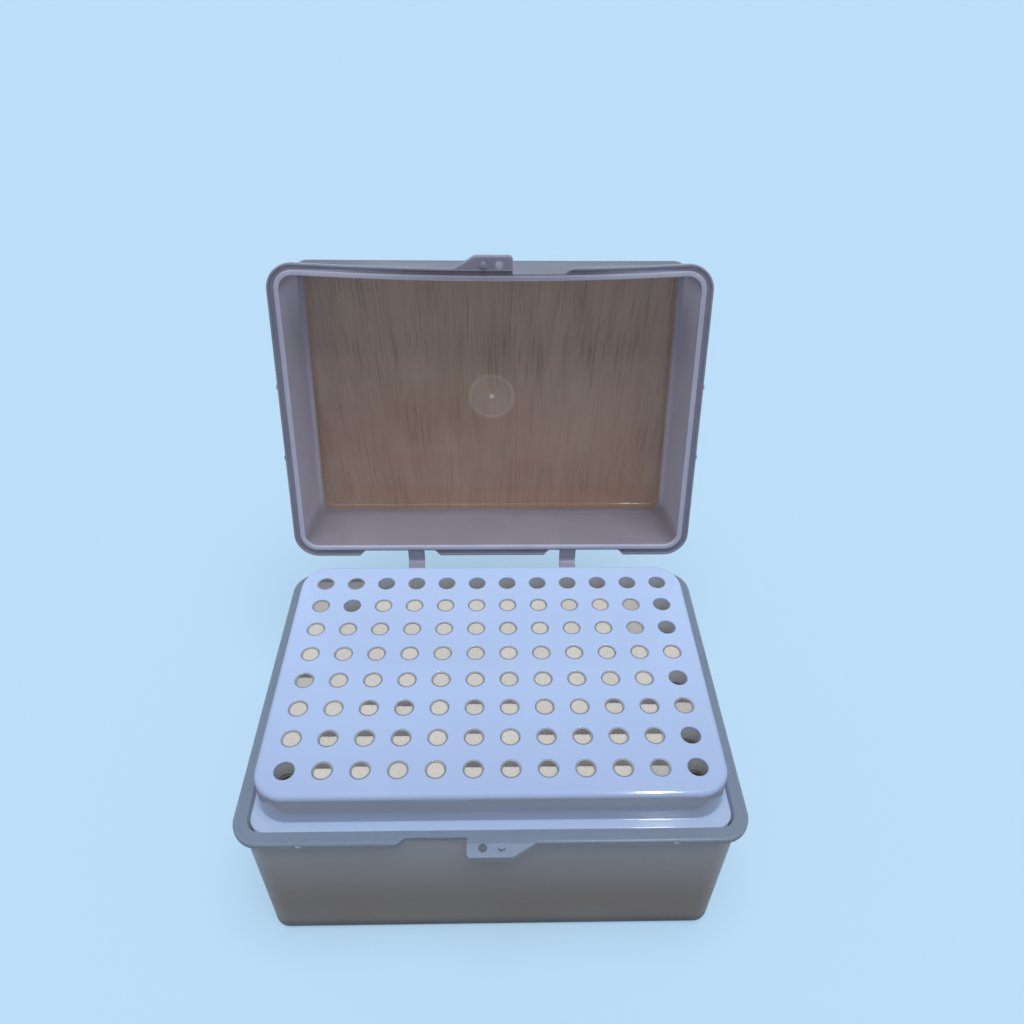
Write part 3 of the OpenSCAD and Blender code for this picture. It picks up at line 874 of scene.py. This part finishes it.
class TIPBOX_OT_straps(Operator):
    """Makes the two bent straps that hinge the lid, in place of the plain leaves"""

    bl_idname = "tip_box.straps"
    bl_label = "Make hinge straps"

    def execute(self, context):
        shape = context.scene.tip_box_straps
        look = context.scene.tip_box_lid
        material, w, shader, place = new_material("strap_plastic")
        cloud = group(w, "cloud", {"Vector": place, "Size": 3 * MM})
        grain = group(w, "grain", {"Vector": place, "Grain": 0.3 * MM})
        fold = w.add("ShaderNodeVectorMath",
                     {0: w.vector("MULTIPLY", place, (0, 1, 1)), 1: (0, *FOLD)},
                     operation="DISTANCE").outputs["Value"]
        white = w.spread(fold, 0.4 * MM, 1.8 * MM, 0.15, 0)
        body = w.mix(cloud.outputs["Tone"], look.bead, look.frosted)
        body = w.mix(white, body, (1, 1, 1))
        height = w.part(place, "Z")
        # Painted shade: darker below the fold, towards the tub.
        foot = w.spread(height, FOLD[1] - 0.6 * MM, FOLD[1] + 0.4 * MM, 1, 0)
        body = w.mix(foot, body, shape.foot)
        w.feed(shader.inputs["Base Color"], body)
        w.feed(shader.inputs["Roughness"], w.spread(cloud.outputs["Tone"], 0, 1, 0.3, 0.45))
        bump(w, shader, grain.outputs["Height"], 0.04 * MM, 0.5)
        for side, sign in (("left", -1), ("right", 1)):
            middle = sign * shape.places
            piece = strap(f"hinge_strap_{side}", middle, shape)
            piece.data.materials.append(material)
            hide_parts(f"hinge_leaf_base_{side}", f"hinge_leaf_lid_{side}")
            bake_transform(piece)
        return {"FINISHED"}


def add_light(name, kind, place, aim, **settings):
    """A lamp at a place, turned towards a point."""
    lamp = bpy.data.lights.new(name, kind)
    for key, value in settings.items():
        setattr(lamp, key, value)
    piece = bpy.data.objects.new(name, lamp)
    piece.location = place
    piece.rotation_euler = (Vector(aim) - Vector(place)).to_track_quat("-Z", "Y").to_euler()
    bpy.context.scene.collection.objects.link(piece)
    return piece


def seen(wires):
    """1 for rays from the camera, from gloss and through glass, 0 for the others."""
    path = wires.add("ShaderNodeLightPath").outputs
    either = wires.math("MAXIMUM", path["Is Camera Ray"], path["Is Glossy Ray"])
    return wires.math("MAXIMUM", either, path["Is Transmission Ray"])


class TIPBOX_OT_stage(Operator):
    """Lays the pale floor and sets the soft lamps and the camera"""

    bl_idname = "tip_box.stage"
    bl_label = "Set stage"

    def execute(self, context):
        look = context.scene.tip_box_stage
        scene = context.scene
        scene.view_settings.view_transform = "Standard"
        half = 6.0
        mesh = bpy.data.meshes.new("floor")
        mesh.from_pydata([(-half, -half, 0), (half, -half, 0), (half, half, 0),
                          (-half, half, 0)], [], [(0, 1, 2, 3)])
        floor = bpy.data.objects.new("floor", mesh)
        scene.collection.objects.link(floor)
        material, w, shader, _ = new_material("pale_floor")
        lit = tuple(v * (1 - look.glow) for v in look.backdrop)
        w.feed(shader.inputs["Base Color"], w.mix(seen(w), look.bounce, lit))
        w.feed(shader.inputs["Emission Color"], w.mix(seen(w), (0, 0, 0), look.backdrop))
        shader.inputs["Emission Strength"].default_value = look.glow
        shader.inputs["Roughness"].default_value = 1.0
        shader.inputs["Specular IOR Level"].default_value = 0.0
        mesh.materials.append(material)
        world = bpy.data.worlds.new("sky")
        world.use_nodes = True
        world.node_tree.nodes.clear()
        w = Wiring(world.node_tree)
        light = w.add("ShaderNodeBackground", {"Color": (1, 1, 1), "Strength": look.sky})
        shown = w.add("ShaderNodeBackground", {"Color": tuple(look.backdrop),
                                               "Strength": 1.0})
        both = w.add("ShaderNodeMixShader", {0: seen(w), 1: light.outputs[0],
                                             2: shown.outputs[0]})
        w.add("ShaderNodeOutputWorld", {"Surface": both.outputs[0]})
        scene.world = world
        soft = add_light("overhead", "SUN", (0.05, -0.16, 1.0), (0, 0, 0),
                         energy=look.overhead * math.pi, angle=math.radians(40))
        soft.visible_glossy = False
        pane = add_light("glint", "AREA", (0.15, -0.323, 0.574), (0.15, -0.039, 0.056),
                         energy=look.glint, shape="RECTANGLE", size=0.015, size_y=0.4)
        pane.visible_diffuse = False
        pane.visible_camera = False
        self.set_camera(scene)
        return {"FINISHED"}

    def set_camera(self, scene):
        """Looks down on the box from just before it, as it is shown."""
        camera = bpy.data.objects.new("camera", bpy.data.cameras.new("camera"))
        camera.location = (0.45 * MM, -146.15 * MM, 231.73 * MM)
        camera.rotation_euler = [math.radians(v) for v in (52.222, -0.671, -1.075)]
        camera.data.lens = 29.02
        camera.data.sensor_width = 36
        camera.data.shift_x = 0.00045
        camera.data.shift_y = -0.02574
        camera.data.clip_start = 0.01
        scene.collection.objects.link(camera)
        scene.camera = camera


class TIPBOX_PT_panel(Panel):
    """Lists each piece with its sizes and colours, and the button that makes it"""

    bl_idname = "TIPBOX_PT_panel"
    bl_label = "Tip Box"
    bl_space_type = "VIEW_3D"
    bl_region_type = "UI"
    bl_category = "Tip Box"

    def draw(self, context):
        for label, name, step in STEPS:
            box = self.layout.box()
            box.label(text=label)
            holder = getattr(context.scene, name)
            for field in holder.__annotations__:
                box.prop(holder, field)
            box.operator(step)


STEPS = (
    ("Tub", "tip_box_tub", "tip_box.tub"),
    ("Lid", "tip_box_lid", "tip_box.lid"),
    ("Rack plate", "tip_box_rack", "tip_box.rack"),
    ("Tips", "tip_box_tips", "tip_box.tips"),
    ("Filters", "tip_box_filters", "tip_box.filters"),
    ("Hinge straps", "tip_box_straps", "tip_box.straps"),
    ("Stage", "tip_box_stage", "tip_box.stage"),
)
HOLDERS = {
    "tip_box_tub": TubFinish, "tip_box_lid": LidFinish, "tip_box_rack": RackFinish,
    "tip_box_tips": TipFinish, "tip_box_filters": FilterFinish,
    "tip_box_straps": StrapShape, "tip_box_stage": StageLook,
}
CLASSES = (
    *HOLDERS.values(), TIPBOX_OT_tub, TIPBOX_OT_lid, TIPBOX_OT_rack, TIPBOX_OT_tips,
    TIPBOX_OT_filters, TIPBOX_OT_straps, TIPBOX_OT_stage, TIPBOX_PT_panel,
)


def register():
    for kind in CLASSES:
        bpy.utils.register_class(kind)
    for name, kind in HOLDERS.items():
        setattr(bpy.types.Scene, name, PointerProperty(type=kind))


def unregister():
    for name in HOLDERS:
        delattr(bpy.types.Scene, name)
    for kind in reversed(CLASSES):
        bpy.utils.unregister_class(kind)


def main():
    """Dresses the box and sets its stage."""
    register()
    bpy.ops.tip_box.tub()
    bpy.ops.tip_box.lid()
    bpy.ops.tip_box.rack()
    bpy.ops.tip_box.tips()
    bpy.ops.tip_box.filters()
    bpy.ops.tip_box.straps()
    bpy.ops.tip_box.stage()


if __name__ == "__main__":
    main()
